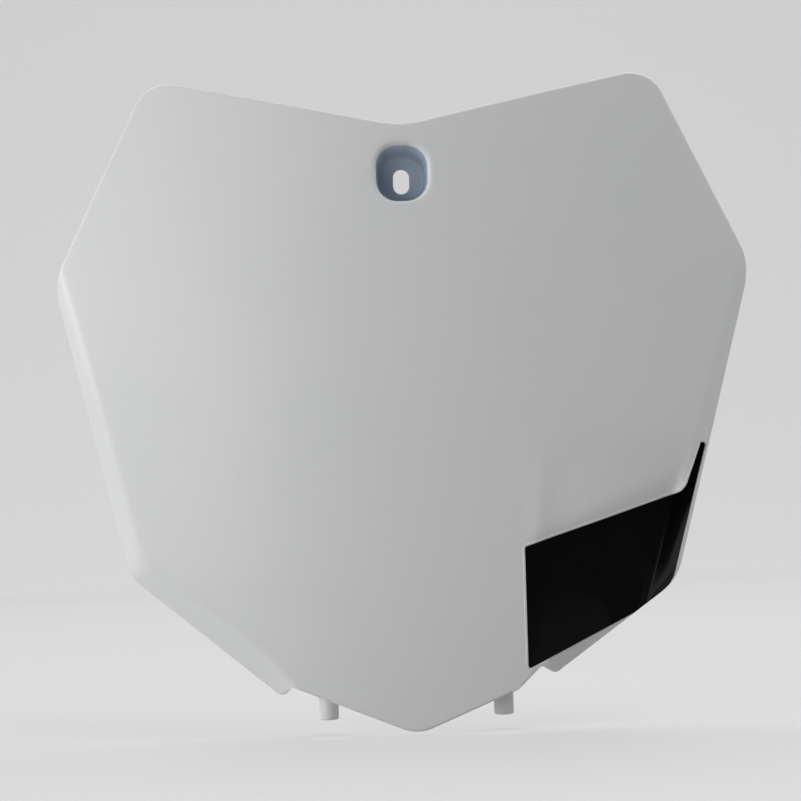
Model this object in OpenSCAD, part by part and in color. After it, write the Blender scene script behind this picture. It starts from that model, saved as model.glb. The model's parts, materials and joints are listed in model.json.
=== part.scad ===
// Racing number board: a white moulded plate with a V top, folded lower edges, a screw cup and two pegs.
// Millimetres. Z runs up the plate and the face looks along -Y.
// The origin is the middle of the screw slot, on the back of the cup, where the plate meets its bracket.

/* [Plate] */
// Thickness of the moulded wall
wall = 2.4; // [1.8:0.1:3.2]
// Radius of the face's curve from side to side
face_r = 420; // [340:10:700]
// Half the width across the side points, before rounding
side_x = 143; // [134:1:152]
// Height of the side points
side_z = -37; // [-50:1:-25]
// Corner radius of the side points
side_r = 26; // [8:1:34]
// Half the distance between the horns, before rounding
horn_x = 101.8; // [92:0.2:110]
// Height of the horns
horn_z = 43.8; // [38:0.2:52]
// Corner radius of the horns
horn_r = 14.5; // [6:0.5:18]
// Height of the V between the horns
vee_z = 21.6; // [19:0.2:26]
// Radius at the bottom of the V
vee_r = 40; // [10:1:60]

/* [Lower end] */
// Distance of the lower left corner from the middle
left_x = 114.5; // [106:0.5:122]
// Height of the lower left corner
left_z = -157.5; // [-165:0.5:-150]
// Radius of the lower left corner
left_r = 17; // [8:1:20]
// Distance of the lower right corner from the middle
right_x = 108.5; // [104:0.5:114]
// Height of the lower right corner
right_z = -165; // [-169:0.5:-160]
// Radius of the lower right corner
right_r = 24; // [8:1:28]
// Height of the bottom point
tip_z = -222.4; // [-228:0.4:-218]
// Corner radius of the bottom point
tip_r = 16; // [6:1:20]
// Angle of the bottom edges above the level
tip_slope = 22.2; // [20:0.2:24]
// Distance from the middle to the left notch
notch_left = 49.6; // [47:0.2:52]
// Distance from the middle to the right notch
notch_right = 50.6; // [49:0.2:52]
// Width of the step beside the right notch
notch_step = 9.6; // [8:0.2:10]
// Rise of the right notch above the bottom edge
notch_rise = 5.2; // [4:0.2:6]
// Width of the short edge that runs down from the left notch to the foot
foot_left_w = 4.6; // [3.6:0.2:5.6]
// Fall of the short edge beside the left notch
foot_left_fall = 4.8; // [4:0.2:5.6]
// Width of the short edge that runs down from the right notch to the foot
foot_right_w = 6.2; // [5.2:0.2:7.2]
// Fall of the short edge beside the right notch
foot_right_fall = 4.4; // [3.6:0.2:5.2]
// Corner radius of the feet
foot_r = 3; // [1:0.5:4]
// Corner radius inside the notches
notch_r = 1.5; // [0.5:0.5:2]

/* [Folded edges] */
// Width of the fold along the sides
fold_side = 5.4; // [4:0.2:7]
// Width of the fold along the feet
fold_foot = 10; // [8:0.2:12]
// How far the edge folds back at the side points
drop_side = 4; // [3:0.5:6]
// How far the edge folds back at the lower corners
drop_low = 7.5; // [6:0.5:9]
// How far the edge folds back at the notches
drop_end = 10; // [8:0.5:12]
// Angle of the crease that runs up from the left notch
crease_left_a = 128; // [122:1:134]
// Angle of the crease that runs up from the right notch
crease_right_a = 68; // [62:1:74]
// Length of the creases at the notches
crease_end_l = 23; // [18:1:28]

/* [Screw cup] */
// Width of the mouth
cup_w = 20.8; // [18:0.2:26]
// Height of the mouth
cup_h = 22.8; // [20:0.2:26]
// Height of the middle of the mouth above the slot
cup_z = 2.8; // [1:0.2:4]
// Depth of the cup from the face to its floor
cup_depth = 12.5; // [8:0.5:18]
// Corner radius of the mouth
cup_r = 8.6; // [4:0.2:9]
// How far the cup's sides lean in on their way down
cup_draft = 1.2; // [0.6:0.1:2]
// How far the cup's top leans in on its way down
cup_draft_top = 4.4; // [2:0.2:5]
// Thickness of the cup's floor
seat_t = 3; // [2:0.2:5]
// Width of the slot for the screw
slot_w = 6.5; // [5:0.1:8.4]
// Length of the slot, which stands upright
slot_l = 10; // [9:0.5:13]
// Thickness of the ribs that hold the cup
rib_t = 1.8; // [1.2:0.1:3]
// Reach of the ribs beside the cup
rib_reach = 14; // [8:1:20]
// Width of the ribs at their crest
rib_crest = 2; // [1:0.5:4]

/* [Pegs] */
// Distance of each peg from the middle
peg_x = 35.5; // [31:0.5:38]
// Diameter of the pegs
peg_d = 8; // [6:0.2:10]
// Height of the pegs' lower ends
peg_end_z = -217; // [-221:0.5:-215]
// Free length of a peg below its shoulder
peg_free = 14; // [10:0.5:16]
// Length of the thicker root above the shoulder
peg_root_l = 22; // [16:1:28]
// Width of the shoulder round a peg
peg_shoulder = 0.8; // [0.4:0.1:1.4]
// Length of the web that joins a peg to the plate
web_l = 38; // [30:1:46]
// Thickness of the webs
web_t = 3; // [2:0.2:5]
// Bevel on the pegs' ends
peg_bevel = 0.8; // [0.4:0.1:1.5]

/* [Corner channel] */
// Distance from the middle to the panel's left edge
channel_x = 45.3; // [44:0.1:48]
// Height of the panel's upper left corner
channel_z = -148.8; // [-153:0.2:-146]
// Height of the panel's lower left corner
channel_low_z = -197.6; // [-198.4:0.2:-195]
// Depth of the panel behind the face at its upper left corner
channel_depth = 4.1; // [3.4:0.1:6]
// Length of the channel above the lower right corner
channel_l = 57; // [50:1:64]
// Width of the channel at its upper end
channel_end_w = 2.4; // [1.6:0.2:3.2]
// Width of the channel where its upper edge bends to run beside the rim
neck_w = 4.1; // [3.4:0.1:5]
// Height of that bend above the lower right corner
neck_l = 36; // [33:1:40]
// Radius of that bend
neck_r = 8; // [4:1:12]
// Width of the white rim beside the channel
rim_w = 2.2; // [1.6:0.1:3]
// Width of the rim at the channel's upper end
rim_end_w = 1.6; // [1.2:0.1:2.2]
// Height above the lower right corner where the rim starts to narrow
rim_l = 30; // [24:1:34]
// Radius of the bend in the rim's inner edge
rim_r = 44; // [20:2:60]
// Radius of the panel's lower right corner
panel_low_r = 22; // [12:1:24]
// Corner radius of the panel's other corners
panel_r = 0.8; // [0.4:0.1:1.5]
// Distance from the plate's edge to the crease at the bottom of the channel
crease_w = 8.9; // [7.5:0.1:10]
// How much further in the crease lies at its lower end
crease_turn = 2; // [1:0.2:3]
// Height of the crease's upper end above the lower right corner
crease_l = 31.5; // [26:0.5:36]
// Distance of the panel's rounded corner below the plate's lower right corner
panel_below = 6.6; // [6:0.2:7.6]
// Distance from the lower right corner to where the panel meets the bottom edge
panel_reach = 16.5; // [14:0.5:20]
// Thickness of the black panel
panel_t = 1.2; // [0.8:0.1:1.6]
// Gap round the black panel
panel_gap = 0.2; // [0.1:0.05:0.4]

/* [Dip above the channel] */
// Height at which the face starts to dip towards the channel
scoop_z = -104; // [-112:1:-96]
// Angle of the dip
scoop_tilt = 4.2; // [2:0.2:5]
// Distance from the panel's left edge to the dip's side at its lower end
scoop_low_x = 2.4; // [1:0.2:4]
// Distance from the panel's left edge to the dip's side at its upper end
scoop_top_x = 9.8; // [6:0.2:14]
// Corner radius of the dip
scoop_r = 2; // [1:0.5:4]

/* [Hidden] */
$fn = 96;
face_fn = 240;
cup_fn = 32;
// Degrees of turn for each flat of a rounded corner
arc_step = 7.5;
// Size of what cuts right through the plate, and how far a cut runs past what it cuts
span = 420;
over = 1;
// Thickness of the slices that a hulled form is drawn between
slice = 0.01;
face_y = -(cup_depth + seat_t);
peg_y = 0;
peg_r = peg_d / 2;
web_z = peg_end_z + peg_free;

// Depth of the curved face behind its foremost line
function sag(x) = face_r - sqrt(face_r * face_r - x * x);
// A point on the face, or as far behind it as drop says
function on_face(p, drop = 0) = [p.x, face_y + sag(p.x) + drop, p.y];
function unit(v) = v / norm(v);
// The direction a quarter turn to the left of v
function left_of(v) = [-v.y, v.x];
// A corner at point p with radius r
function round_at(p, r) = [p.x, p.y, r];

// Corners of the outline seen from the front, counterclockwise
left_corner = [-left_x, left_z];
right_corner = [right_x, right_z];
left_side = [-side_x, side_z];
right_side = [side_x, side_z];
tab_x = notch_right - notch_step;
left_notch = [-notch_left, tip_z + notch_left * tan(tip_slope)];
right_notch = [notch_right, tip_z + notch_right * tan(tip_slope) + notch_rise];
left_foot = left_notch - [foot_left_w, foot_left_fall];
right_foot = right_notch + [foot_right_w, -foot_right_fall];
outline = [
    [0, vee_z, vee_r],
    [-horn_x, horn_z, horn_r],
    round_at(left_side, side_r),
    round_at(left_corner, left_r),
    round_at(left_foot, foot_r),
    round_at(left_notch, notch_r),
    [0, tip_z, tip_r],
    [tab_x, tip_z + tab_x * tan(tip_slope), notch_r],
    round_at(right_notch, notch_r),
    round_at(right_foot, foot_r),
    round_at(right_corner, right_r),
    round_at(right_side, side_r),
    [horn_x, horn_z, horn_r]
];

// Directions along the right side, upwards, and from it towards the middle
up_side = unit(right_side - right_corner);
in_side = left_of(up_side);
// A point beside the right edge: so far in from it and so far above the lower right corner
function beside(inwards, upwards) = right_corner + inwards * in_side + upwards * up_side;

// A plane through three points, with its normal towards the front
function plane(a, b, c) =
    let (n = unit(cross(b - a, c - a)))
    [a, n.y > 0 ? -n : n];
// A point of the front view, moved in Y onto a plane
function onto(pl, p) =
    [p.x, pl[0].y - (pl[1].x * (p.x - pl[0].x) + pl[1].z * (p.y - pl[0].z)) / pl[1].y, p.y];
// The plane of a folded edge, from its two ends, how far they fold back and the fold's width
function fold(p, q, drop_p, drop_q, width) =
    let (mid = (p + q) / 2, side = left_of(unit(q - p)))
    plane(on_face(p, drop_p), on_face(q, drop_q), on_face(mid + width * side));
// The plane that ends a foot's fold at its notch, along a crease at the given angle
function fold_end(notch, foot, angle) =
    plane(
        on_face(notch),
        on_face(notch + crease_end_l * [cos(angle), sin(angle)]),
        on_face(foot, drop_end)
    );

fold_left = fold(left_side, left_corner, drop_side, drop_low, fold_side);
fold_right = fold(right_corner, right_side, drop_low, drop_side, fold_side);
fold_left_foot = fold(left_corner, left_foot, drop_low, drop_end, fold_foot);
fold_right_foot = fold(right_foot, right_corner, drop_end, drop_low, fold_foot);
end_left = fold_end(left_notch, left_foot, crease_left_a);
end_right = fold_end(right_notch, right_foot, crease_right_a);

// The panel's front view, counterclockwise from its lower left corner
panel_corner = [channel_x, channel_z];
panel_low = [channel_x, channel_low_z];
rim_bend = beside(rim_w, rim_l);
panel_outline = [
    round_at(panel_low, panel_r),
    round_at(beside(rim_w, -panel_below), panel_low_r),
    round_at(rim_bend, rim_r),
    round_at(beside(rim_end_w, channel_l), panel_r),
    round_at(beside(rim_end_w + channel_end_w, channel_l), panel_r),
    round_at(beside(rim_w + neck_w, neck_l), neck_r),
    round_at(panel_corner, panel_r)
];

// The faces of the panel: a floor that falls back to the right, and a flank that rises to the rim
crease_top = beside(crease_w, crease_l);
crease_low = beside(crease_w + crease_turn, -panel_below);
floor_edge = right_corner + panel_reach * unit(right_foot - right_corner);
floor_plane = plane(
    on_face(panel_corner, channel_depth),
    onto(fold_right_foot, panel_low),
    onto(fold_right_foot, floor_edge)
);
flank_plane = plane(
    onto(floor_plane, crease_top),
    onto(floor_plane, crease_low),
    onto(fold_right, rim_bend)
);

// Points of a rounded corner at q, between its neighbours p and s
function corner(p, q, s, r) =
    let (
        a = unit(p - q),
        b = unit(s - q),
        half = acos(a * b) / 2,
        middle = q + unit(a + b) * r / sin(half),
        start = q + a * r / tan(half) - middle,
        turn = 180 - 2 * half,
        way = sign(a.y * b.x - a.x * b.y),
        steps = max(2, ceil(turn / arc_step))
    )
    [for (i = [0 : steps])
        let (t = way * turn * i / steps)
        middle + [start.x * cos(t) - start.y * sin(t), start.x * sin(t) + start.y * cos(t)]];

// The corners moved outwards by g, with their radii kept in step
function grown(c, g) =
    let (n = len(c))
    [for (i = [0 : n - 1])
        let (
            p = [c[(i + n - 1) % n].x, c[(i + n - 1) % n].y],
            q = [c[i].x, c[i].y],
            s = [c[(i + 1) % n].x, c[(i + 1) % n].y],
            n1 = -left_of(unit(q - p)),
            n2 = -left_of(unit(s - q)),
            bend = n1.x * n2.y - n1.y * n2.x,
            m = q + g * (n1 + n2) / (1 + n1 * n2)
        )
        round_at(m, max(panel_r / 2, c[i].z + sign(bend) * g))];

module front_shape(c) {
    n = len(c);
    polygon([for (i = [0 : n - 1])
        let (p = c[(i + n - 1) % n], q = c[i], s = c[(i + 1) % n])
        each corner([p.x, p.y], [q.x, q.y], [s.x, s.y], q.z)]);
}

// A shape of the front view run through the plate from front to back
module through(c) {
    translate([0, span / 4, 0])
        rotate([90, 0, 0])
            linear_extrude(height = span / 2)
                front_shape(c);
}

// All that lies in front of a plane, which t moves back
module before(pl, t = 0) {
    translate(pl[0] - t * pl[1])
        rotate(a = acos(pl[1].z), v = cross([0, 0, 1], pl[1]))
            translate([-span, -span, 0])
                cube([2 * span, 2 * span, span]);
}

// The room in front of the panel's two faces, t behind them
module channel(t, margin) {
    intersection() {
        through(grown(panel_outline, margin));
        before(floor_plane, t);
        before(flank_plane, t);
    }
}

// The shallow dip above the channel, which follows the face and leans back
module scoop(t) {
    top_z = scoop_z + 2 * wall;
    top = beside(rim_w, (top_z - right_z) / up_side.y);
    below = [0, -2 * wall];
    difference() {
        through(grown([
            round_at(panel_corner + [scoop_low_x, 0] + below, scoop_r),
            round_at(rim_bend + below, scoop_r),
            round_at(rim_bend, scoop_r),
            round_at(top, scoop_r),
            [channel_x + scoop_top_x, top_z, scoop_r]
        ], t));
        translate([0, face_y, scoop_z])
            rotate([scoop_tilt, 0, 0])
                translate([0, face_r, -span])
                    cylinder(r = face_r - t, h = 2 * span, $fn = face_fn);
    }
}

// The solid behind the face, t below its surface
module behind_face(t) {
    difference() {
        translate([0, face_y + face_r, -span])
            cylinder(r = face_r - t, h = 2 * span, $fn = face_fn);
        before(fold_left, t);
        before(fold_right, t);
        intersection() {
            before(fold_left_foot, t);
            before(end_left, t);
        }
        intersection() {
            before(fold_right_foot, t);
            before(end_right, t);
        }
        scoop(t);
        channel(panel_t + t, panel_gap + t);
    }
}

module shell() {
    intersection() {
        through(outline);
        difference() {
            behind_face(0);
            behind_face(wall);
        }
    }
}

// A slice of the cup at depth y, g wider all round than its bore
module cup_slice(y, w, low, high, r, g) {
    translate([0, y, 0])
        rotate([90, 0, 0])
            linear_extrude(height = slice)
                for (x = [-1, 1], z = [low + r, high - r])
                    translate([x * (w / 2 - r), z])
                        circle(r = r + g, $fn = cup_fn);
}

// The drafted body of the cup from depth y1 to y2, g wider than its bore
module cup_form(y1, y2, g) {
    low = cup_z - cup_h / 2;
    high = cup_z + cup_h / 2;
    function lean(y) = (y - face_y) / cup_depth;
    hull() {
        for (y = [y1, y2])
            cup_slice(
                y,
                cup_w - 2 * cup_draft * lean(y),
                low + cup_draft * lean(y) / 2,
                high - cup_draft_top * lean(y),
                cup_r - cup_draft * lean(y),
                g
            );
    }
}

module slot() {
    half = (slot_l - slot_w) / 2;
    translate([0, over, 0])
        rotate([90, 0, 0])
            linear_extrude(height = seat_t + 2 * over) {
                translate([0, half])
                    circle(d = slot_w);
                translate([0, -half])
                    circle(d = slot_w);
                square([slot_w, 2 * half], center = true);
            }
}

// Ribs beside and below the cup, from the face's back down to near the seat
module cup_ribs() {
    foot_y = face_y + wall / 2;
    crest_y = -seat_t;
    side = cup_w / 2 - cup_draft;
    low = cup_z - cup_h / 2 + cup_draft / 2;
    for (s = [-1, 1])
        translate([0, 0, cup_z - rib_t / 2])
            linear_extrude(height = rib_t)
                polygon([
                    [s * side, foot_y],
                    [s * (side + wall / 2 + rib_reach), foot_y],
                    [s * (side + wall / 2 + rib_crest), crest_y],
                    [s * side, crest_y]
                ]);
    translate([-rib_t / 2, 0, 0])
        rotate([90, 0, 90])
            linear_extrude(height = rib_t)
                polygon([
                    [foot_y, low],
                    [foot_y, low - wall / 2 - rib_reach],
                    [crest_y, low - wall / 2 - rib_crest],
                    [crest_y, low]
                ]);
}

// One round peg with its shoulder, on the web that joins it to the plate's back
module peg(x) {
    translate([x, peg_y, peg_end_z])
        rotate_extrude()
            polygon([
                [0, 0],
                [peg_r - peg_bevel, 0],
                [peg_r, peg_bevel],
                [peg_r, peg_free],
                [peg_r + peg_shoulder, peg_free],
                [peg_r + peg_shoulder, peg_free + peg_root_l],
                [0, peg_free + peg_root_l]
            ]);
    translate([x - web_t / 2, 0, 0])
        rotate([90, 0, 90])
            linear_extrude(height = web_t)
                polygon([
                    [face_y + sag(x) + wall / 2, web_z],
                    [peg_y, web_z],
                    [peg_y, web_z + peg_root_l],
                    [face_y + sag(x) + wall / 2, web_z + web_l]
                ]);
}

module number_plate() {
    color("white")
        difference() {
            union() {
                shell();
                cup_form(face_y + wall / 2, 0, wall);
                cup_ribs();
                peg(-peg_x);
                peg(peg_x);
            }
            cup_form(face_y - over, -seat_t, 0);
            slot();
        }
}

module corner_panel() {
    color([0.03, 0.03, 0.03])
        intersection() {
            through(outline);
            difference() {
                channel(panel_t, 0);
                channel(0, over);
                before(fold_right);
                before(fold_right_foot);
            }
        }
}

number_plate();
corner_panel();
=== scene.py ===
import json
import math
import bpy
from mathutils import Matrix, Vector
from mathutils.kdtree import KDTree


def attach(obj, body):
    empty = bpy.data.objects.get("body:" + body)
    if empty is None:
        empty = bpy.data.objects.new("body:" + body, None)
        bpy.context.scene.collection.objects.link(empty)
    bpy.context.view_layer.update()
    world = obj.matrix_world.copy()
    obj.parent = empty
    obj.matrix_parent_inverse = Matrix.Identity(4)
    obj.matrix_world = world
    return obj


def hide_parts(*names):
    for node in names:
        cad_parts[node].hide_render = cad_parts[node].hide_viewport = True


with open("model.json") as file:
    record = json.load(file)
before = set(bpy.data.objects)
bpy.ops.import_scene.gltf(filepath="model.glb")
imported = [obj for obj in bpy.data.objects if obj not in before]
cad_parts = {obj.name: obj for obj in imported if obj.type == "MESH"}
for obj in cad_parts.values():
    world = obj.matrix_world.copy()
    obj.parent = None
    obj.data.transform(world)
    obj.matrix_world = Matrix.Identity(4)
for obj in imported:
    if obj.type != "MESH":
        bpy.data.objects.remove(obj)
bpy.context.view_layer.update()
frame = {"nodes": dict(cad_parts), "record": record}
mm = 0.001
mounts = {mount["name"]: mount for mount in frame["record"]["mounts"]}
pi = math.pi
sharp = math.radians(30)  # edges that turn more than this get a bevel, or stay sharp


# small tools for modelling

def deselectAll():
    if bpy.context.object and bpy.context.object.mode != "OBJECT":
        bpy.ops.object.mode_set(mode="OBJECT")
    bpy.ops.object.select_all(action="DESELECT")


def makeActive(piece):
    deselectAll()
    piece.select_set(True)
    bpy.context.view_layer.objects.active = piece


def applyModifier(piece, kind, **settings):
    makeActive(piece)
    modifier = piece.modifiers.new(kind.title(), kind)
    for name, value in settings.items():
        setattr(modifier, name, value)
    bpy.ops.object.modifier_apply(modifier=modifier.name)


def cutWith(piece, cutter, operation):
    # joins, cuts or trims the piece with another one, which is used up
    applyModifier(piece, "BOOLEAN", operation=operation, object=cutter, solver="EXACT")
    bpy.data.objects.remove(cutter)


def closeSlits(piece, reach=0.004, longest=6):
    # closes the tiny slits that a cut may leave: merges points within the reach, fills what stays open
    makeActive(piece)
    bpy.ops.object.mode_set(mode="EDIT")
    bpy.ops.mesh.select_all(action="SELECT")
    bpy.ops.mesh.remove_doubles(threshold=reach * mm)
    bpy.ops.mesh.select_mode(type="EDGE")
    bpy.ops.mesh.select_all(action="DESELECT")
    bpy.ops.mesh.select_non_manifold(extend=False, use_wire=True, use_boundary=True, use_multi_face=False,
                                     use_non_contiguous=False, use_verts=False)
    bpy.ops.mesh.fill_holes(sides=longest)
    bpy.ops.mesh.select_mode(type="FACE")
    bpy.ops.object.mode_set(mode="OBJECT")


def roundedShape(corners, turnPerPoint, longest):
    # corners are x, z and radius, counterclockwise from the front; long runs get extra points
    points = []
    for i, (x, z, radius) in enumerate(corners):
        here = Vector((x, z))
        before = (Vector(corners[i - 1][:2]) - here).normalized()
        after = (Vector(corners[(i + 1) % len(corners)][:2]) - here).normalized()
        half = before.angle(after) / 2
        middle = here + (before + after).normalized() * radius / math.sin(half)
        start = here + before * radius / math.tan(half) - middle
        way = 1 if before.y * after.x - before.x * after.y > 0 else -1
        turn = pi - 2 * half
        steps = max(2, math.ceil(math.degrees(turn) / turnPerPoint))
        for k in range(steps + 1):
            a = way * turn * k / steps
            points.append(middle + Vector((start.x * math.cos(a) - start.y * math.sin(a),
                                           start.x * math.sin(a) + start.y * math.cos(a))))
    filled = []
    for p, q in zip(points, points[1:] + points[:1]):
        parts = max(1, math.ceil((q - p).length / longest))
        filled += [p.lerp(q, k / parts) for k in range(parts)]
    return filled


def grown(points, width):
    # a closed line moved outwards by the width, point by point
    moved = []
    for i, here in enumerate(points):
        a = (here - points[i - 1]).normalized()
        b = (points[(i + 1) % len(points)] - here).normalized()
        outA, outB = Vector((a.y, -a.x)), Vector((b.y, -b.x))
        moved.append(here + width * (outA + outB) / (1 + outA.dot(outB)))
    return moved


def outwards(piece):
    # turns all faces of a closed piece outwards
    makeActive(piece)
    bpy.ops.object.mode_set(mode="EDIT")
    bpy.ops.mesh.select_all(action="SELECT")
    bpy.ops.mesh.normals_make_consistent(inside=False)
    bpy.ops.object.mode_set(mode="OBJECT")


def loftRings(name, rings):
    # rings are lists of (x, y, z) with as many points each; a circle is extruded from ring to ring
    deselectAll()
    bpy.ops.mesh.primitive_circle_add(vertices=len(rings[0]), radius=1, fill_type="NGON")
    piece = bpy.context.object
    piece.name = piece.data.name = name
    for vertex, place in zip(piece.data.vertices, rings[0]):
        vertex.co = Vector(place) * mm
    for before, ring in zip(rings, rings[1:]):
        bpy.ops.object.mode_set(mode="EDIT")
        bpy.ops.mesh.extrude_region_move()
        bpy.ops.object.mode_set(mode="OBJECT")
        moving = [v for v in piece.data.vertices if v.select]
        for vertex in moving:
            here = vertex.co / mm
            i = min(range(len(ring)), key=lambda k: (here - Vector(before[k])).length_squared)
            vertex.co = Vector(ring[i]) * mm
    outwards(piece)
    return piece


# the plate's driving sizes, in millimetres; corners are x, z and radius

plate = {
    "wall": 2.4,
    "faceRadius": 420,
    "faceY": -15.5,
    "vee": (0, 21.6, 40),
    "horn": (101.8, 43.8, 14.5),
    "side": (143, -37, 26),
    "leftCorner": (-114.5, -157.5, 17),
    "rightCorner": (108.5, -165, 24),
    "tip": (0, -222.4, 16),
    "tipSlope": 22.2,
    "leftNotch": 49.6,
    "rightNotch": 50.6,
    "notchStep": 9.6,
    "notchRise": 5.2,
    "notchRadius": 1.5,
    "leftFoot": (-4.6, -4.8),
    "rightFoot": (6.2, -4.4),
    "footRadius": 3,
    "sideFold": 5.4,
    "footFold": 10,
    "sideDrop": 4,
    "cornerDrop": 7.5,
    "notchDrop": 10,
    "leftCrease": 128,
    "rightCrease": 68,
    "creaseLength": 23,
    "foldSoftness": 2.4,
    "rimRound": 0.8,
    "smoothAngle": 35,
}

slope = math.tan(math.radians(plate["tipSlope"]))
leftSide = Vector((-plate["side"][0], plate["side"][1]))
rightSide = Vector(plate["side"][:2])
leftCorner = Vector(plate["leftCorner"][:2])
rightCorner = Vector(plate["rightCorner"][:2])
leftNotch = Vector((-plate["leftNotch"], plate["tip"][1] + plate["leftNotch"] * slope))
rightNotch = Vector((plate["rightNotch"], plate["tip"][1] + plate["rightNotch"] * slope + plate["notchRise"]))
leftFoot = leftNotch + Vector(plate["leftFoot"])
rightFoot = rightNotch + Vector(plate["rightFoot"])
tabX = plate["rightNotch"] - plate["notchStep"]
outlineCorners = [
    plate["vee"],
    (-plate["horn"][0],) + plate["horn"][1:],
    (-plate["side"][0],) + plate["side"][1:],
    plate["leftCorner"],
    (*leftFoot, plate["footRadius"]),
    (*leftNotch, plate["notchRadius"]),
    plate["tip"],
    (tabX, plate["tip"][1] + tabX * slope, plate["notchRadius"]),
    (*rightNotch, plate["notchRadius"]),
    (*rightFoot, plate["footRadius"]),
    plate["rightCorner"],
    plate["side"],
    plate["horn"],
]


def sag(x):
    return plate["faceRadius"] - math.sqrt(plate["faceRadius"] ** 2 - x * x)


def onFace(p, drop=0):
    return Vector((p[0], plate["faceY"] + sag(p[0]) + drop, p[1]))


class Flat:
    # a plane through three points, which gives its depth at any place of the front view
    def __init__(self, a, b, c):
        self.point = a
        self.normal = (b - a).cross(c - a).normalized()
        if self.normal.y > 0:
            self.normal.negate()

    def depth(self, x, z):
        n, a = self.normal, self.point
        return a.y - (n.x * (x - a.x) + n.z * (z - a.z)) / n.y

    def onto(self, p):
        return Vector((p[0], self.depth(p[0], p[1]), p[1]))


def foldedEdge(p, q, dropP, dropQ, width):
    along = (q - p).normalized()
    inwards = Vector((-along.y, along.x))
    return Flat(onFace(p, dropP), onFace(q, dropQ), onFace((p + q) / 2 + width * inwards))


def foldEnd(notch, foot, angle):
    a = math.radians(angle)
    crease = notch + plate["creaseLength"] * Vector((math.cos(a), math.sin(a)))
    return Flat(onFace(notch), onFace(crease), onFace(foot, plate["notchDrop"]))


foldLeft = foldedEdge(leftSide, leftCorner, plate["sideDrop"], plate["cornerDrop"], plate["sideFold"])
foldRight = foldedEdge(rightCorner, rightSide, plate["cornerDrop"], plate["sideDrop"], plate["sideFold"])
foldLeftFoot = foldedEdge(leftCorner, leftFoot, plate["cornerDrop"], plate["notchDrop"], plate["footFold"])
foldRightFoot = foldedEdge(rightFoot, rightCorner, plate["notchDrop"], plate["cornerDrop"], plate["footFold"])
endLeft = foldEnd(leftNotch, leftFoot, plate["leftCrease"])
endRight = foldEnd(rightNotch, rightFoot, plate["rightCrease"])

# directions along the right side and from it towards the middle
upSide = (rightSide - rightCorner).normalized()
inSide = Vector((-upSide.y, upSide.x))


def beside(inwards, upwards):
    return rightCorner + inwards * inSide + upwards * upSide


channel = {
    "left": 45.3,
    "top": -148.8,
    "low": -197.6,
    "depth": 4.1,
    "length": 57,
    "endWidth": 2.4,
    "neck": (4.1, 36, 8),
    "rim": 2.2,
    "rimEnd": 1.6,
    "rimBend": (30, 44),
    "lowRadius": 22,
    "cornerRadius": 0.8,
    "crease": 8.9,
    "creaseTurn": 2,
    "creaseLength": 31.5,
    "below": 6.6,
    "reach": 16.5,
    "panel": 1.2,
    "gap": 0.2,
    "creaseSoftness": 1.0,
    "edgeRound": 0.25,
}

panelTop = Vector((channel["left"], channel["top"]))
panelLow = Vector((channel["left"], channel["low"]))
rimBend = beside(channel["rim"], channel["rimBend"][0])
neckLow = beside(channel["rim"] + channel["neck"][0], channel["neck"][1])
neckTop = beside(channel["rimEnd"] + channel["endWidth"], channel["length"])
panelCorners = [
    (*panelLow, channel["cornerRadius"]),
    (*beside(channel["rim"], -channel["below"]), channel["lowRadius"]),
    (*rimBend, channel["rimBend"][1]),
    (*beside(channel["rimEnd"], channel["length"]), channel["cornerRadius"]),
    (*neckTop, channel["cornerRadius"]),
    (*neckLow, channel["neck"][2]),
    (*panelTop, channel["cornerRadius"]),
]
creaseTop = beside(channel["crease"], channel["creaseLength"])
creaseLow = beside(channel["crease"] + channel["creaseTurn"], -channel["below"])
floorEdge = rightCorner + channel["reach"] * (rightFoot - rightCorner).normalized()
floorTop = onFace(panelTop, channel["depth"])
channelFloor = Flat(floorTop, foldRightFoot.onto(panelLow), foldRightFoot.onto(floorEdge))
channelFlank = Flat(channelFloor.onto(creaseTop), channelFloor.onto(creaseLow), foldRight.onto(rimBend))

# the pool is given by its left end, run, top, fall and depth, and a swell by its crest, left flank, right
# flank, start, run and height

dip = {
    "top": -104,
    "tilt": 3.2,
    "leftLow": 50.0,
    "leftHigh": 53.0,
    "leftWidth": 8.0,
    "rightWidth": 5.5,
    "softness": 5.0,
    "roll": 0.21,
    "rollWidth": (6.0, 13.5),
    "rollRun": (55, 60),
    "rollStart": 6,
    "pool": (80, 28, -106, 16, 0.7),
    "swells": ((50.8, 6, 9, -112, 24, 0.42), (72, 8, 14, -110, 14, 0.3)),
    "margin": (2, 20),
    "lowest": -155,
}


def softMax(a, b, k):
    h = max(k - abs(a - b), 0) / k
    return max(a, b) + h * h * k / 4


def softMin(a, b, k):
    return -softMax(-a, -b, k)


def smooth(t):
    t = min(max(t, 0), 1)
    return t * t * (3 - 2 * t)


def besideLine(p, a, b):
    # how far p lies to the left of the line from a to b
    along = (b - a).normalized()
    return along.x * (p.y - a.y) - along.y * (p.x - a.x)


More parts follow.
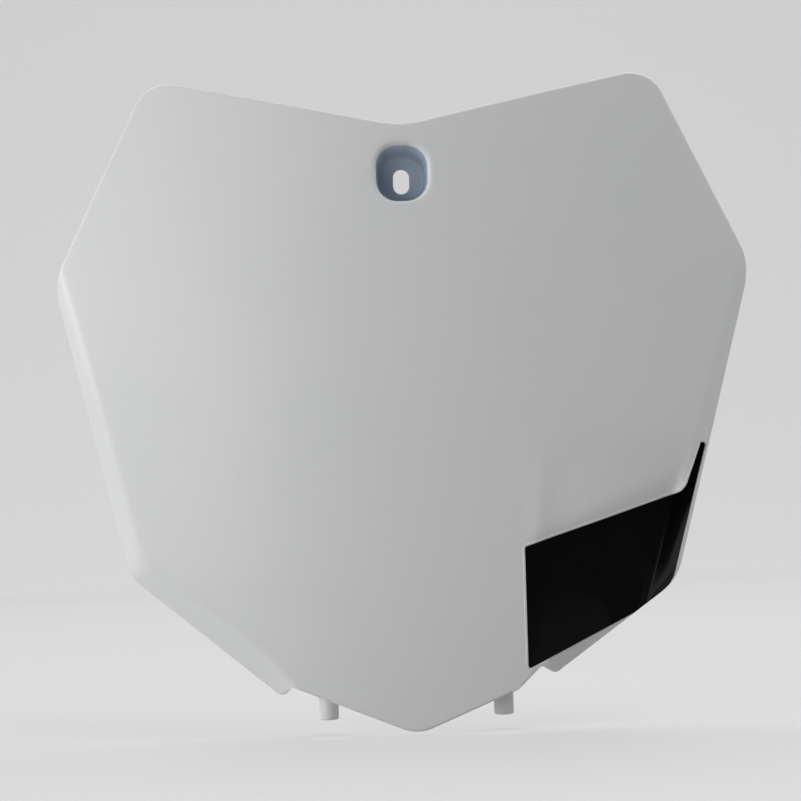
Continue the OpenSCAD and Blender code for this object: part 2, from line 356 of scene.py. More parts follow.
def dipDepth(x, z):
    # the shallow dip above the channel, with soft ramps at its two sides and a roll at the channel's edge
    p = Vector((x, z))
    fall = softMax(0, (dip["top"] - z) * math.tan(math.radians(dip["tilt"])), dip["softness"])
    fall = max(fall - dip["softness"] / 4, 0)
    share = (z - channel["top"]) / (dip["top"] - channel["top"])
    left = dip["leftLow"] + share * (dip["leftHigh"] - dip["leftLow"])
    rightRamp = smooth(besideLine(p, neckLow, neckTop) / dip["rightWidth"])
    ramps = smooth((x - left) / dip["leftWidth"]) * rightRamp
    above = besideLine(p, panelTop, neckLow)
    rollLeft, rollRun = dip["rollRun"]
    narrow, broad = dip["rollWidth"]
    wide = narrow + (broad - narrow) * smooth((x - rollLeft) / rollRun)
    roll = dip["roll"] * wide * min(max(1 - above / wide, 0), 1) ** 2 * rightRamp
    poolLeft, poolRun, poolTop, poolFall, poolDeep = dip["pool"]
    fall += poolDeep * smooth((x - poolLeft) / poolRun) * smooth((poolTop - z) / poolFall)
    swell = 0
    for crest, leftFlank, rightFlank, start, run, height in dip["swells"]:
        across = (x - crest) / (rightFlank if x > crest else leftFlank)
        swell += height * smooth(1 - abs(across)) * smooth((start - z) / run)
    return fall * ramps + roll * smooth((x - channel["left"]) / dip["rollStart"]) - swell


def faceDepth(x, z):
    k = plate["foldSoftness"]
    y = plate["faceY"] + sag(x)
    if x > channel["left"] - dip["margin"][0] and dip["top"] + dip["margin"][1] > z:
        y += dipDepth(x, max(z, dip["lowest"]))
    y = softMax(y, foldLeft.depth(x, z), k)
    y = softMax(y, foldRight.depth(x, z), k)
    y = softMax(y, softMin(foldLeftFoot.depth(x, z), endLeft.depth(x, z), k), k)
    return softMax(y, softMin(foldRightFoot.depth(x, z), endRight.depth(x, z), k), k)


# the plate's sheet: the outline with a grid cut into it, pressed to the face's depth and given its wall;
# a stretch of the grid is its start, end and cell

sheetGrid = {
    "turn": 6,
    "step": 2.5,
    "edgeBand": 1.3,
    "across": ((-142, -42, 1.7), (-42, 40, 3.4), (40, 142, 1.5)),
    "upright": ((-221, -196, 1.5), (-196, -100, 1.5), (-100, -30, 2), (-30, 42, 4)),
    "merge": 0.08,
    "steepest": 0.5,
    "sharpCorners": (5, 7, 8),
    "sharpReach": 2.5,
    "wallTilt": 0.02,
}


def flatShape(name, points):
    deselectAll()
    bpy.ops.mesh.primitive_circle_add(vertices=len(points), radius=1, fill_type="NGON")
    piece = bpy.context.object
    piece.name = piece.data.name = name
    for vertex, p in zip(piece.data.vertices, points):
        vertex.co = Vector((p.x, 0, p.y)) * mm
    return piece


def bisectAll(place, normal):
    # cuts an edge line into all that shows in edit mode
    bpy.ops.mesh.select_all(action="SELECT")
    bpy.ops.mesh.bisect(plane_co=Vector(place) * mm, plane_no=normal)


def linesBetween(*stretches):
    # each stretch runs from a to b in cells of about the given size
    lines = []
    for a, b, cell in stretches:
        count = max(1, round((b - a) / cell))
        lines += [a + (b - a) * k / count for k in range(count)]
    return lines


def pressed(piece, depth):
    for vertex in piece.data.vertices:
        vertex.co.y = depth(vertex.co.x / mm, vertex.co.z / mm) * mm


def faceForward(piece):
    # an open sheet's faces look to the front
    makeActive(piece)
    if piece.data.polygons[len(piece.data.polygons) // 2].normal.y > 0:
        bpy.ops.object.mode_set(mode="EDIT")
        bpy.ops.mesh.select_all(action="SELECT")
        bpy.ops.mesh.flip_normals()
        bpy.ops.object.mode_set(mode="OBJECT")


def bevelWhere(piece, chosen, width, segments=3):
    # rounds the edges between two faces whose normals are of the chosen kind
    faces = {}
    for face in piece.data.polygons:
        for key in face.edge_keys:
            faces.setdefault(key, []).append(face.normal.copy())
    makeActive(piece)
    bpy.ops.object.mode_set(mode="EDIT")
    bpy.ops.mesh.select_mode(type="EDGE")
    bpy.ops.mesh.select_all(action="DESELECT")
    bpy.ops.object.mode_set(mode="OBJECT")
    for edge in piece.data.edges:
        pair = faces[edge.key]
        ends = [piece.data.vertices[i].co for i in edge.vertices]
        edge.select = len(pair) == 2 and chosen(*pair, (ends[0] + ends[1]) / 2)
    bpy.ops.object.mode_set(mode="EDIT")
    bpy.ops.mesh.bevel(offset=width * mm, segments=segments, affect="EDGES", clamp_overlap=True)
    bpy.ops.mesh.select_mode(type="FACE")
    bpy.ops.object.mode_set(mode="OBJECT")


def insetEdge(width):
    # an edge band of quads all round; it is hidden so that the grid isn't cut into it
    bpy.ops.mesh.select_all(action="SELECT")
    bpy.ops.mesh.inset(thickness=width * mm, use_boundary=True, use_even_offset=True)
    bpy.ops.mesh.select_all(action="INVERT")
    bpy.ops.mesh.hide(unselected=False)


def makeSheet():
    grid = sheetGrid
    sheet = flatShape("numberPlate", roundedShape(outlineCorners, grid["turn"], grid["step"]))
    bpy.ops.object.mode_set(mode="EDIT")
    bpy.ops.mesh.select_mode(type="FACE")
    insetEdge(grid["edgeBand"])
    for x in linesBetween(*grid["across"]):
        bisectAll((x, 0, 0), (1, 0, 0))
    for z in linesBetween(*grid["upright"]):
        bisectAll((0, 0, z), (0, 0, 1))
    bpy.ops.mesh.reveal(select=False)
    bpy.ops.mesh.select_all(action="SELECT")
    bpy.ops.mesh.remove_doubles(threshold=grid["merge"] * mm)
    bpy.ops.mesh.select_all(action="DESELECT")
    bpy.ops.mesh.select_face_by_sides(number=4, type="GREATER")
    bpy.ops.mesh.quads_convert_to_tris(quad_method="BEAUTY", ngon_method="BEAUTY")
    bpy.ops.object.mode_set(mode="OBJECT")
    pressed(sheet, faceDepth)
    faceForward(sheet)
    walls = [plate["wall"] / max(grid["steepest"], -v.normal.y) for v in sheet.data.vertices]
    bpy.ops.object.mode_set(mode="EDIT")
    bpy.ops.mesh.select_all(action="SELECT")
    bpy.ops.mesh.extrude_region_move()
    bpy.ops.object.mode_set(mode="OBJECT")
    tree = KDTree(len(walls))
    for i in range(len(walls)):
        tree.insert(sheet.data.vertices[i].co, i)
    tree.balance()
    for vertex in [v for v in sheet.data.vertices if v.select]:
        vertex.co.y += walls[tree.find(vertex.co)[1]] * mm
    outwards(sheet)
    tight = [Vector(outlineCorners[i][:2]) for i in grid["sharpCorners"]]

    def onRim(a, b, place):
        clear = min((Vector((place.x, place.z)) / mm - p).length for p in tight) > grid["sharpReach"]
        return clear and (abs(a.y) < grid["wallTilt"]) != (abs(b.y) < grid["wallTilt"])
    bevelWhere(sheet, onRim, plate["rimRound"])
    print("sheet pressed:", len(sheet.data.polygons), "faces")
    return sheet


# the screw cup, its ribs and the pegs

cup = {
    "width": 20.8,
    "height": 22.8,
    "middle": 2.8,
    "depth": 12.5,
    "radius": 8.6,
    "draft": 1.2,
    "topDraft": 4.4,
    "seat": 3,
    "slotWidth": 6.5,
    "slotLength": 10,
    "ribWidth": 1.8,
    "ribReach": 14,
    "ribCrest": 2,
    "ribLift": 0.3,
    "backRound": 0.6,
    "mouthRound": 1.7,
    "mouthGrow": (1.85, 1.55),
    "mouthShift": (0.25, 0.65),
    "mouthSteps": 7,
    "mouthSink": 0.01,
    "inFront": ((-4, 1.5), (-0.06, 1.08)),
    "floorRound": 1.4,
    "floorSteps": 5,
    "slotProfile": ((-4.4, 0.35), (-3.0, 0.35), (-2.92, 0.14), (-2.65, 0), (-0.3, 0), (0, 0.3), (1, 0.3)),
}


def rectRing(depth, grow, flare=0.0, front=False, steps=9):
    # the cup's bore at a depth behind the face, grown all round, and flared at its mouth
    lean = min(depth, cup["depth"] + cup["seat"]) / cup["depth"]
    growX, growZ = (grow + flare * g for g in cup["mouthGrow"])
    shiftX, shiftZ = (flare * s for s in cup["mouthShift"])
    half = cup["width"] / 2 - cup["draft"] * lean
    low = cup["middle"] - cup["height"] / 2 + cup["draft"] * lean / 2
    high = cup["middle"] + cup["height"] / 2 - cup["topDraft"] * lean
    radius = cup["radius"] - cup["draft"] * lean
    ring = []
    for i, (sx, sz) in enumerate(((1, 1), (-1, 1), (-1, -1), (1, -1))):
        cx, cz = sx * (half - radius), high - radius if sz > 0 else low + radius
        for k in range(steps + 1):
            a = pi / 2 * (i + k / steps)
            x = cx + (radius + growX) * math.cos(a) + shiftX
            z = cz + (radius + growZ) * math.sin(a) + shiftZ
            ring.append((x, plate["faceY"] + depth + (sag(x) if front else 0), z))
    return ring


def makeCupBody():
    wall, back, r = plate["wall"], -plate["faceY"], cup["backRound"]
    rings = [rectRing(wall / 2, wall, front=True), rectRing(back - r, wall)]
    for a in (pi / 6, pi / 3, pi / 2):
        rings.append(rectRing(back - r * (1 - math.sin(a)), wall - r * (1 - math.cos(a))))
    return loftRings("cupBody", rings)


def makeCupCutter():
    # two flared rings in front of the face, a quarter round at the mouth and another one at the floor
    r, f, deep = cup["mouthRound"], cup["floorRound"], cup["depth"]
    rings = [rectRing(depth, 0, flare, front=True) for depth, flare in cup["inFront"]]
    for k in range(1, cup["mouthSteps"] + 1):
        a = pi / 2 * k / cup["mouthSteps"]
        rings.append(rectRing(r * (1 - math.cos(a)) + cup["mouthSink"], 0, 1 - math.sin(a), front=True))
    rings.append(rectRing(deep / 2, 0))
    for k in range(cup["floorSteps"] + 1):
        a = pi / 2 * k / cup["floorSteps"]
        rings.append(rectRing(deep - f * (1 - math.sin(a)), -f * (1 - math.cos(a))))
    return loftRings("cupCutter", rings)


def stadium(y, grow, steps=12):
    half, r = (cup["slotLength"] - cup["slotWidth"]) / 2, cup["slotWidth"] / 2 + grow
    ring = []
    for side in (1, -1):
        for k in range(steps + 1):
            a = pi * (k / steps + (0 if side > 0 else 1))
            ring.append((r * math.cos(a), y, side * half + r * math.sin(a)))
    return ring


def makeSlotCutter():
    return loftRings("slotCutter", [stadium(y, grow) for y, grow in cup["slotProfile"]])


def slab(name, corners, across, thickness, bevel=0.3):
    # a flat web or rib: its corners in space, drawn out by the thickness along one axis
    half = Vector(across) * thickness / 2
    piece = loftRings(name, [[Vector(c) - half for c in corners], [Vector(c) + half for c in corners]])
    applyModifier(piece, "BEVEL", width=bevel * mm, segments=2, limit_method="ANGLE", angle_limit=sharp)
    return piece


def makeRibs():
    front, crest = plate["faceY"] + plate["wall"] / 2, -cup["seat"]
    half = plate["wall"] / 2
    side = cup["width"] / 2 - cup["draft"]
    low = cup["middle"] - cup["height"] / 2 + cup["draft"] / 2
    ribs = []
    for name, way in (("ribRight", 1), ("ribLeft", -1)):
        profile = [(side, front), (side + half + cup["ribReach"], front + cup["ribLift"]),
                   (side + half + cup["ribCrest"], crest), (side, crest)]
        corners = [(way * x, y, cup["middle"]) for x, y in profile]
        ribs.append(slab(name, corners, (0, 0, 1), cup["ribWidth"]))
    corners = [(0, front, low), (0, front, low - half - cup["ribReach"]),
               (0, crest, low - half - cup["ribCrest"]), (0, crest, low)]
    ribs.append(slab("ribLow", corners, (1, 0, 0), cup["ribWidth"]))
    return ribs


peg = {
    "root": 22,
    "free": 14,
    "shoulder": 0.8,
    "end": -217,
    "webLength": 38,
    "web": 3,
    "endDome": 0.28,
    "endRound": 0.8,
    "shoulderRound": (0.25, 0.07),
    "rootRound": (0.5, 0.15),
    "rings": 4,
    "sides": 48,
}


def makePeg(mount):
    # the mount gives the place and radius; the end is a little convex, the shoulder is rounded
    x, y, z = (v / mm for v in mount["pos_m"])
    r, end, count, sides = mount["dims"]["r_mm"], peg["end"], peg["rings"], peg["sides"]
    dome, bend = peg["endDome"], peg["endRound"]
    profile = [((r - bend) * k / count, dome * (k / count) ** 2) for k in range(1, count + 1)]
    for k in range(1, count + 1):
        a = pi / 2 * k / count
        profile.append((r - bend + bend * math.sin(a), dome + bend * (1 - math.cos(a))))
    outer, foot = r + peg["shoulder"], peg["free"]
    q, mid = peg["shoulderRound"]
    profile += [(r, foot - q), (r + mid, foot - mid), (r + q, foot), (outer - q, foot), (outer, foot + q)]
    top = foot + peg["root"]
    q, mid = peg["rootRound"]
    profile += [(outer, top - q), (outer - mid, top - mid), (outer - q, top)]
    turns = [2 * pi * k / sides for k in range(sides)]
    rings = [[(x + rad * math.cos(a), y + rad * math.sin(a), end + up) for a in turns] for rad, up in profile]
    piece = loftRings(mount["name"], rings)
    front, low = plate["faceY"] + sag(x) + plate["wall"] / 2, end + peg["free"]
    web = slab(mount["name"] + "Web", [(x, front, low), (x, y, low), (x, y, low + peg["root"]),
                                       (x, front, low + peg["webLength"])], (1, 0, 0), peg["web"])
    return [piece, web]


# the tray behind the corner panel, and what cuts the panel's recess; a stretch is its start, end and cell

toolDepths = {"front": -30, "recess": 40, "back": 60}

trayShape = {
    "turn": 10,
    "step": 4,
    "across": (42, 126, 4),
    "upright": (-202, -104, 4),
    "merge": 0.08,
    "thinnest": 0.6,
    "trim": 0.9,
}

recess = {
    "turn": 7,
    "step": 1.7,
    "lead": 1.6,
    "mouth": (-0.6, 1.1),
    "roundFrom": 0.15,
    "sink": 0.02,
    "spare": 0.03,
}


def channelDeep(x, z, back):
    # the channel's floor and flank, both moved back
    return min(flat.depth(x, z) + back / abs(flat.normal.y) for flat in (channelFloor, channelFlank))


def creaseBetween(first, second, firstBack=0.0, secondBack=0.0):
    # the upright plane through the line in which two planes meet, after each is moved back in depth
    places = ((0, 0), (1, 0), (0, 1))
    gap = [first.depth(x, z) + firstBack - second.depth(x, z) - secondBack for x, z in places]
    across = Vector((gap[1] - gap[0], 0, gap[2] - gap[0]))
    return -gap[0] * across / across.length_squared, across.normalized()


def bisectCrease(back):
    # cuts the line in which the channel's floor and flank meet, both moved back
    moved = [back / abs(flat.normal.y) for flat in (channelFloor, channelFlank)]
    bisectAll(*creaseBetween(channelFloor, channelFlank, *moved))


def outlineTool(width):
    # a block with the plate's outline, grown by the width, to trim other pieces
    shape = grown(roundedShape(outlineCorners, turnPerPoint=6, longest=6), width)
    ends = toolDepths["front"], toolDepths["back"]
    return loftRings("outlineTool", [[(p.x, y, p.y) for p in shape] for y in ends])


def pressedPiece(piece, front, back):
    # a flat shape with lines cut into it gets its front depth, and is drawn out to its back depth
    pressed(piece, front)
    faceForward(piece)
    bpy.ops.object.mode_set(mode="EDIT")
    bpy.ops.mesh.select_all(action="SELECT")
    bpy.ops.mesh.extrude_region_move()
    bpy.ops.object.mode_set(mode="OBJECT")
    for vertex in [v for v in piece.data.vertices if v.select]:
        vertex.co.y = back(vertex.co.x / mm, vertex.co.z / mm) * mm
    outwards(piece)


def trayFront(x, z):
    return faceDepth(x, z) + plate["wall"] / 2


def trayBack(x, z):
    return max(channelDeep(x, z, channel["panel"] + plate["wall"]), trayFront(x, z) + trayShape["thinnest"])


def makeTray():
    look = trayShape
    shape = grown(roundedShape(panelCorners, look["turn"], look["step"]), channel["gap"] + plate["wall"])
    tray = flatShape("tray", shape)
    bpy.ops.object.mode_set(mode="EDIT")
    bisectCrease(channel["panel"] + plate["wall"])
    for x in linesBetween(look["across"]):
        bisectAll((x, 0, 0), (1, 0, 0))
    for z in linesBetween(look["upright"]):
        bisectAll((0, 0, z), (0, 0, 1))
    bpy.ops.mesh.select_all(action="SELECT")
    bpy.ops.mesh.remove_doubles(threshold=look["merge"] * mm)
    bpy.ops.mesh.quads_convert_to_tris(quad_method="BEAUTY", ngon_method="BEAUTY")
    bpy.ops.object.mode_set(mode="OBJECT")
    pressedPiece(tray, trayFront, trayBack)
    cutWith(tray, outlineTool(-look["trim"]), "INTERSECT")
    return tray


def makeChannelCutter():
    # its mouth follows the face with a small round edge, its deep end lies on the channel's floor and flank
    shape = roundedShape(panelCorners, recess["turn"], recess["step"])
    r, back, gap = channel["edgeRound"], channel["panel"], channel["gap"]
    stages = [recess["mouth"]]
    for a in (recess["roundFrom"], pi / 6, pi / 3, pi / 2):
        stages.append((r * (1 - math.cos(a)) - recess["sink"], r * (1 - math.sin(a))))
    rings = [[(p.x, toolDepths["front"], p.y) for p in grown(shape, gap + recess["lead"])]]
    for k, (depth, width) in enumerate(stages):
        spare = recess["spare"] * (len(stages) - k)
        ring = []
        for p in grown(shape, gap + width):
            y = min(faceDepth(p.x, p.y) + depth, channelDeep(p.x, p.y, back) - spare)
            ring.append((p.x, y, p.y))
        rings.append(ring)
    rings.append([(p.x, toolDepths["recess"], p.y) for p in grown(shape, gap)])
    cutter = loftRings("channelCutter", rings)
    bpy.ops.object.mode_set(mode="EDIT")
    bisectCrease(back)
    bpy.ops.object.mode_set(mode="OBJECT")
    for vertex in cutter.data.vertices:
        if vertex.co.y > (toolDepths["recess"] - 1) * mm:
            vertex.co.y = channelDeep(vertex.co.x / mm, vertex.co.z / mm, back) * mm
    outwards(cutter)
    return cutter


lip = {
    "away": 0.66,
    "radius": 0.42,
    "lift": 0.22,
    "end": 3,
    "sunk": 0.7,
    "turn": 12,
    "step": 1.5,
    "sides": 10,
}


def makeLip():
    # a fine raised lip along the recess's left and upper edges, which sinks into the plate at both ends
    shape = grown(roundedShape(panelCorners, lip["turn"], lip["step"]), channel["gap"] + lip["away"])
    ends = (neckTop, panelLow)
    first, last = (min(range(len(shape)), key=lambda i: (shape[i] - end).length) for end in ends)
    if last < first:
        last += len(shape)
    path = (shape + shape)[first + 2:last - 1]
    turns = [2 * pi * k / lip["sides"] for k in range(lip["sides"])]
    rings = []
    for before, here, after in zip(path, path[1:], path[2:]):
        along = (after - before).normalized()
        out = Vector((along.y, -along.x))
        toEnd = min((here - path[0]).length, (here - path[-1]).length)
        sunk = (1 - smooth(toEnd / lip["end"])) * lip["sunk"]
        y = faceDepth(here.x, here.y) - lip["lift"] + lip["radius"] + sunk
        around = [(lip["radius"] * math.cos(a), lip["radius"] * math.sin(a)) for a in turns]
        rings.append([(here.x + side * out.x, y + deep, here.y + side * out.y) for side, deep in around])
    return loftRings("lip", rings)


def makePlate():
    sheet = makeSheet()
    behind = makeCupBody()
    pegs = makePeg(mounts["peg_left"]) + makePeg(mounts["peg_right"])
    for part in makeRibs() + pegs + [makeTray()]:
        cutWith(behind, part, "UNION")
    print("back parts joined:", len(behind.data.polygons), "faces")
    cutWith(sheet, behind, "UNION")
    cutWith(sheet, makeChannelCutter(), "DIFFERENCE")
    closeSlits(sheet)
    cutter = makeCupCutter()
    cutWith(cutter, makeSlotCutter(), "UNION")
    cutWith(sheet, cutter, "DIFFERENCE")
    raised = makeLip()
    makeActive(sheet)
    raised.select_set(True)
    bpy.ops.object.join()
    bpy.ops.object.shade_smooth_by_angle(angle=math.radians(plate["smoothAngle"]))
    print("plate cut:", len(sheet.data.polygons), "faces")
    return sheet


numberPlate = makePlate()


# the black corner panel

panelLook = {
    "proud": 0.4,
    "edge": 0.4,
    "trim": 0.25,
    "loose": 0.06,
    "spare": 0.02,
    "turn": 8,
    "step": 2,
    "creaseLines": (0.25, 0.5, 0.8, 1.2, 2.2, 3.2),
    "merge": 0.05,
    "thin": 1,
    "square": 0.6,
    "facing": -0.5,
}


def onFolds(x, z):
    return max(foldRight.depth(x, z), foldRightFoot.depth(x, z)) - panelLook["proud"]


def panelFront(x, z):
    # the panel lies in the channel, and at the plate's lower right corner on the folded edges
    y = softMin(channelFloor.depth(x, z), channelFlank.depth(x, z), channel["creaseSoftness"])
    return max(y, onFolds(x, z))


def panelBack(x, z):
    wall = channel["panel"] / abs(channelFloor.normal.y) - panelLook["loose"]
    floor = max(channelDeep(x, z, channel["panel"]), onFolds(x, z) + panelLook["proud"])
    return min(panelFront(x, z) + wall, floor - panelLook["spare"])


def makePanel():
    look = panelLook
    panel = flatShape("cornerPanel", roundedShape(panelCorners, look["turn"], look["step"]))
    bpy.ops.object.mode_set(mode="EDIT")
    place, across = creaseBetween(channelFloor, channelFlank)
    widths = look["creaseLines"]
    for width in [-w for w in reversed(widths)] + [0] + list(widths):
        bisectAll(place + width * across, across)
    for flat in (channelFloor, channelFlank):
        back = channel["panel"] / abs(flat.normal.y)
        for fold in (foldRight, foldRightFoot):
            bisectAll(*creaseBetween(flat, fold, 0, -look["proud"]))
            bisectAll(*creaseBetween(flat, fold, back, 0))
    bisectAll(*creaseBetween(foldRight, foldRightFoot))
    bpy.ops.mesh.select_all(action="SELECT")
    bpy.ops.mesh.remove_doubles(threshold=look["merge"] * mm)
    bpy.ops.mesh.quads_convert_to_tris(quad_method="BEAUTY", ngon_method="BEAUTY")
    bpy.ops.object.mode_set(mode="OBJECT")
    pressedPiece(panel, panelFront, panelBack)
    cutWith(panel, outlineTool(-look["trim"]), "INTERSECT")

    def onEdge(a, b, place):
        thick = panelBack(place.x / mm, place.z / mm) - panelFront(place.x / mm, place.z / mm)
        return thick > look["thin"] and a.dot(b) < look["square"] and min(a.y, b.y) < look["facing"]
    bevelWhere(panel, onEdge, look["edge"])
    makeActive(panel)
    bpy.ops.object.shade_smooth_by_angle(angle=sharp)
    print("panel pressed:", len(panel.data.polygons), "faces")
    return panel


cornerPanel = makePanel()


# materials: sums on sockets are written as Python sums

class Wire:
    def __init__(self, recipe, socket):
        self.recipe, self.socket = recipe, socket

    def __add__(self, other):
        return self.recipe.maths("ADD", self, other)

    def __radd__(self, other):
        return self.recipe.maths("ADD", other, self)

    def __sub__(self, other):
        return self.recipe.maths("SUBTRACT", self, other)

    def __rsub__(self, other):
        return self.recipe.maths("SUBTRACT", other, self)

    def __mul__(self, other):
        return self.recipe.maths("MULTIPLY", self, other)

    def __rmul__(self, other):
        return self.recipe.maths("MULTIPLY", other, self)


class Recipe:
    # one material or world; node() adds any node from its type, settings and inputs, and gives its outputs
    def __init__(self, name, kind=bpy.data.materials):
        self.material = kind.new(name)
        self.material.use_nodes = True
        self.tree = self.material.node_tree
        self.shader = self.tree.nodes.get("Principled BSDF")

    def node(self, kind, settings=None, inputs=None):
        made = self.tree.nodes.new(kind)
        for name, value in (settings or {}).items():
            setattr(made, name, value)
        for name, value in (inputs or {}).items():
            self.give(made.inputs[name], value)
        return [Wire(self, out) for out in made.outputs if out.enabled]

    def give(self, socket, value):
        if isinstance(value, Wire):
            self.tree.links.new(value.socket, socket)
        else:
            socket.default_value = value

    def finish(self, **values):
        for name, value in values.items():
            self.give(self.shader.inputs[name.replace("_", " ")], value)
        return self.material

    def maths(self, operation, a, b=0.0):
        return self.node("ShaderNodeMath", {"operation": operation}, {0: a, 1: b})[0]

    def seen(self):
        # 1 for what the camera sees straight, in a mirror or through glass
        rays = self.node("ShaderNodeLightPath")
        return rays[0] + rays[3] + rays[6]

    def noise(self, scale, detail):
        place = self.node("ShaderNodeTexCoord")[3]
        return self.node("ShaderNodeTexNoise", None, {"Vector": place, "Scale": scale, "Detail": detail})[0]

    def bump(self, strength, distance, height):
        inputs = {"Strength": strength, "Distance": distance, "Height": height}
        return self.node("ShaderNodeBump", None, inputs)[0]

    def mixed(self, factor, a, b):
        made = self.tree.nodes.new("ShaderNodeMix")
        made.data_type = "RGBA"
        self.give(made.inputs["Factor"], factor)
        self.give(made.inputs[6], a)
        self.give(made.inputs[7], b)
        return Wire(self, made.outputs[2])

    def ramp(self, value, low, high, a=0.0, b=1.0):
        return self.node("ShaderNodeMapRange", {"interpolation_type": "SMOOTHSTEP"},
                         {"Value": value, "From Min": low, "From Max": high, "To Min": a, "To Max": b})[0]


whitePlasticLook = {
    "colour": (0.80, 0.805, 0.81, 1),
    "cloud": (0.782, 0.790, 0.797, 1),
    # painted shade: a darker bluish colour inside the screw cup
    "cupTint": (0.40, 0.48, 0.57, 1),
    "roughness": (0.32, 0.08),
    "cloudScale": 16,
    "cloudEdge": (0.35, 0.7),
    "peelScale": 260,
    "fineScale": 900,
    "peel": 0.05,
    "peelHeight": 0.0004,
    "tintRound": (0.1, 0.6),
    "tintMouth": (-14.3, -13.5),
    "tintSlot": (-2.2, -1.0),
}


def cupShadeMask(made, look):
    # 1 inside the cup, where the white gets a painted shade, found from the distance to the bore's middle
    # block and the bore's radius at that depth
    x, y, z = made.node("ShaderNodeSeparateXYZ", None, {0: made.node("ShaderNodeTexCoord")[3]})
    lean = (y - plate["faceY"] * mm) * (1 / (cup["depth"] * mm))
    blockSide = cup["width"] / 2 - cup["radius"]
    blockTop = cup["middle"] + cup["height"] / 2 - cup["radius"]
    draftUp, draftDown = cup["topDraft"] - cup["draft"], cup["draft"] / 2
    sideways = made.maths("MAXIMUM", made.maths("ABSOLUTE", x) - blockSide * mm, 0.0)
    above, below = z + lean * (draftUp * mm) - blockTop * mm, z * -1.0 - lean * (draftDown * mm)
    upDown = made.maths("MAXIMUM", made.maths("MAXIMUM", above, below), 0.0)
    away = made.maths("SQRT", sideways * sideways + upDown * upDown) + lean * (cup["draft"] * mm)
    near, far = ((cup["radius"] + width) * mm for width in look["tintRound"])
    mouth = [depth * mm for depth in look["tintMouth"]]
    slot = [depth * mm for depth in look["tintSlot"]]
    return made.ramp(away, near, far, 1, 0) * made.ramp(y, *mouth) * made.ramp(y, *slot, 1, 0)


def whitePlastic():
    look = whitePlasticLook
    made = Recipe("whitePlastic")
    clouds = made.noise(look["cloudScale"], 3)
    tone = made.mixed(made.ramp(clouds, *look["cloudEdge"]), look["colour"], look["cloud"])
    # inside the cup the white turns to a darker bluish colour, which is painted shade for the cup's depth
    tone = made.mixed(cupShadeMask(made, look), tone, look["cupTint"])
    height = made.noise(look["peelScale"], 2) * 0.7 + made.noise(look["fineScale"], 2) * 0.3
    bump = made.bump(look["peel"], look["peelHeight"], height)
    even, uneven = look["roughness"]
    return made.finish(Base_Color=tone, Roughness=clouds * uneven + even, Normal=bump, IOR=1.48)


blackPlasticLook = {
    "colour": (0.0025, 0.0025, 0.003, 1),
    "worn": (0.0045, 0.0045, 0.005, 1),
    "roughness": (0.10, 0.08),
    "specular": 0.08,
    "cloudScale": 60,
    "cloudEdge": (0.4, 0.75),
    "peelScale": 320,
    "peel": 0.04,
    "peelHeight": 0.0003,
}


def blackPlastic():
    look = blackPlasticLook
    made = Recipe("blackPlastic")
    clouds = made.noise(look["cloudScale"], 3)
    tone = made.mixed(made.ramp(clouds, *look["cloudEdge"]), look["colour"], look["worn"])
    bump = made.bump(look["peel"], look["peelHeight"], made.noise(look["peelScale"], 2))
    even, uneven = look["roughness"]
    return made.finish(Base_Color=tone, Roughness=clouds * uneven + even, Normal=bump, IOR=1.45,
                       Specular_IOR_Level=look["specular"])


white, black = whitePlastic(), blackPlastic()
for piece, node, material, slot in ((numberPlate, "number_plate", white, "white_plastic"),
                                    (cornerPanel, "corner_panel", black, "black_plastic")):
    piece.data.materials.clear()
    piece.data.materials.append(material)
    frame["nodes"][node].data.materials.clear()
    frame["nodes"][node].data.materials.append(material)
    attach(piece, "root")
    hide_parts(node)
print("materials given")


# floor and backdrop in one sweep, plain and pale

room = {
    "floor": -0.2226,
    "front": -3.2,
    "back": 0.75,
    "bend": 0.9,
    "bendSteps": 12,
    "high": 3.0,
    "glow": 0.44,
    "bounce": 0.09,
    "wide": 4.0,
    "colour": (0.27, 0.27, 0.27, 1),
    "cloud": (0.28, 0.28, 0.28, 1),
    "roughness": 0.9,
}


def makeRoom():
    deselectAll()
    bpy.ops.mesh.primitive_plane_add(size=1)
    sweep = bpy.context.object
    sweep.name = "floor"
    for vertex in sweep.data.vertices:
        y = room["back"] if vertex.co.y > 0 else room["front"]
        vertex.co = (vertex.co.x * 2 * room["wide"], y, room["floor"])
    bpy.ops.object.mode_set(mode="EDIT")
    bpy.ops.mesh.select_mode(type="EDGE")
    bends = [pi / 2 * k / room["bendSteps"] for k in range(room["bendSteps"] + 1)]
    for a, b in zip(bends, bends[1:]):
        # the edge that lies farthest back and up is drawn on round the bend
        bpy.ops.object.mode_set(mode="OBJECT")
        reach = [v.co.y + v.co.z for v in sweep.data.vertices]
        for edge in sweep.data.edges:
            edge.select = all(reach[i] > max(reach) - 1e-4 for i in edge.vertices)
        bpy.ops.object.mode_set(mode="EDIT")
        step = (0, room["bend"] * (math.sin(b) - math.sin(a)), room["bend"] * (math.cos(a) - math.cos(b)))
        bpy.ops.mesh.extrude_edges_move(TRANSFORM_OT_translate={"value": step})
    bpy.ops.mesh.extrude_edges_move(TRANSFORM_OT_translate={"value": (0, 0, room["high"])})
    bpy.ops.object.mode_set(mode="OBJECT")
    bpy.ops.object.shade_smooth()
    made = Recipe("studioFloor")
    tone = made.mixed(made.noise(3, 2), room["colour"], room["cloud"])
    made.finish(Base_Color=tone, Roughness=room["roughness"])
    glow = made.node("ShaderNodeEmission", None, {"Color": (1, 1, 1, 1), "Strength": room["glow"]})[0]
    faint = made.node("ShaderNodeEmission", None, {"Color": (1, 1, 1, 1), "Strength": room["bounce"]})[0]
    added = made.node("ShaderNodeMixShader", None, {0: made.seen(), 1: faint, 2: glow})[0]
    mixed = made.node("ShaderNodeAddShader", None, {0: Wire(made, made.shader.outputs[0]), 1: added})[0]
    made.give(made.tree.nodes["Material Output"].inputs["Surface"], mixed)
    sweep.data.materials.append(made.material)


makeRoom()


# light: soft lamps at the left, above, at the right and behind, and a narrow one for the panel's crease

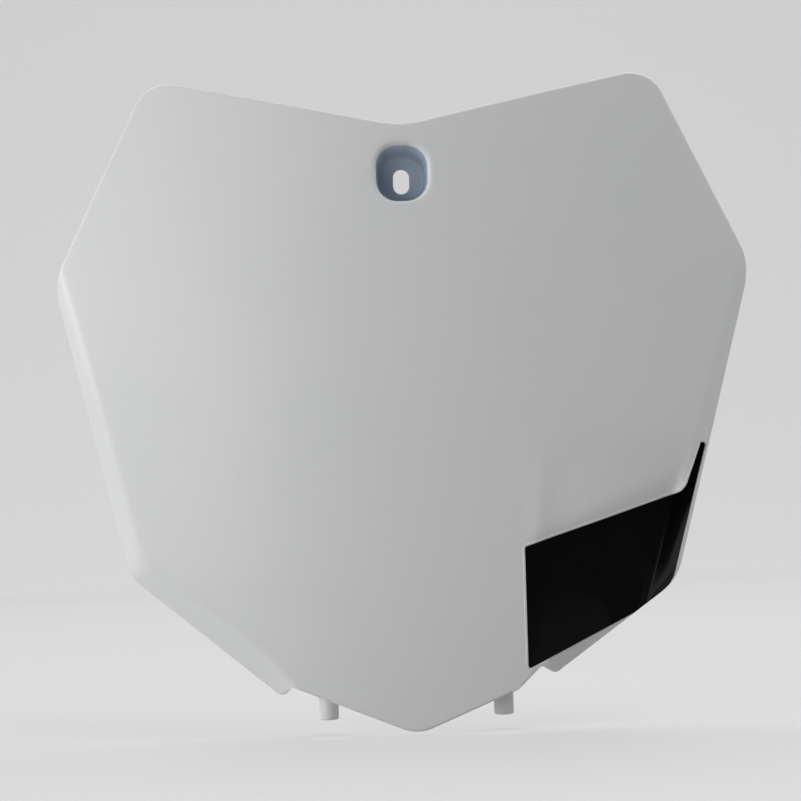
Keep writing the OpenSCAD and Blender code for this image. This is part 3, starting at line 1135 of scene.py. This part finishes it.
lightAim = Vector((0, 0, -0.09))
lights = {
    "keyFront": {"turn": -32, "far": 1.3, "up": -0.05, "size": (0.7, 0.32), "power": 2.5},
    "keyLeft": {"turn": -75, "far": 1.3, "up": 0.04, "size": (0.8, 0.32), "power": 7.1},
    "keyHigh": {"turn": -56, "far": 1.3, "up": 0.5, "size": (0.5, 0.5), "power": 2.4},
    "edgeRight": {"turn": 86, "far": 1.3, "up": 0.45, "size": (0.8, 0.6), "power": 3.0},
    "crease": {"turn": -15, "far": 1.3, "up": 0.4, "size": (0.1, 0.4), "power": 0.45},
    "top": {"turn": 60, "far": 0.7, "up": 1.1, "size": (0.8, 0.8), "power": 7.2},
    "backLeft": {"turn": -140, "far": 1.0, "up": 1.3, "size": (1.0, 1.0), "power": 8},
    "backRight": {"turn": 140, "far": 1.0, "up": 1.3, "size": (1.0, 1.0), "power": 7},
}


def makeLight(name, look):
    data = bpy.data.lights.new(name, "AREA")
    data.shape = "RECTANGLE"
    data.size, data.size_y = look["size"]
    data.energy = look["power"]
    lamp = bpy.data.objects.new(name, data)
    bpy.context.collection.objects.link(lamp)
    turn, far = math.radians(look["turn"]), look["far"]
    lamp.location = (far * math.sin(turn), -far * math.cos(turn), look["up"])
    lamp.rotation_euler = (lightAim - lamp.location).to_track_quat("-Z", "Y").to_euler()


for name, look in lights.items():
    makeLight(name, look)


sky = {
    "light": 0.01,
    "lightColour": (0.9, 0.95, 1, 1),
    "frontToBack": (0.35, 0.6),
    "turnsPale": (-0.6, 0.4),
    "paleColour": (0.97, 0.98, 1, 1),
}


def makeWorld():
    # almost no light for the object; what is seen past the sweep is pale, and a little darker in front
    made = Recipe("studio", bpy.data.worlds)
    bpy.context.scene.world = made.material
    y = made.node("ShaderNodeSeparateXYZ", None, {0: made.node("ShaderNodeTexCoord")[0]})[1]
    strength = made.ramp(y, *sky["turnsPale"], *sky["frontToBack"])
    pale = made.node("ShaderNodeBackground", None, {"Color": sky["paleColour"], "Strength": strength})[0]
    dim = made.node("ShaderNodeBackground", None, {"Color": sky["lightColour"], "Strength": sky["light"]})[0]
    mixed = made.node("ShaderNodeMixShader", None, {0: made.seen(), 1: dim, 2: pale})[0]
    made.give(made.tree.nodes["World Output"].inputs["Surface"], mixed)


makeWorld()


# the camera stands where the photograph's stood: a turn of 1.33 degrees and a roll of 1.70

view = {"place": (-0.0287, -1.1152, -0.0884), "turn": 1.33, "roll": 1.70, "lens": 36 * 2750 / 801}
camera = bpy.data.objects.new("camera", bpy.data.cameras.new("camera"))
bpy.context.collection.objects.link(camera)
camera.data.sensor_width = 36
camera.data.lens = view["lens"]
camera.data.clip_start, camera.data.clip_end = 0.05, 20
turned = Matrix.Rotation(math.radians(-view["turn"]), 4, "Z") @ Matrix.Rotation(pi / 2, 4, "X")
rolled = Matrix.Rotation(math.radians(-view["roll"]), 4, "Z")
camera.matrix_world = Matrix.Translation(view["place"]) @ turned @ rolled
bpy.context.scene.camera = camera
bpy.context.scene.view_settings.view_transform = "Standard"

print("lights and camera set")
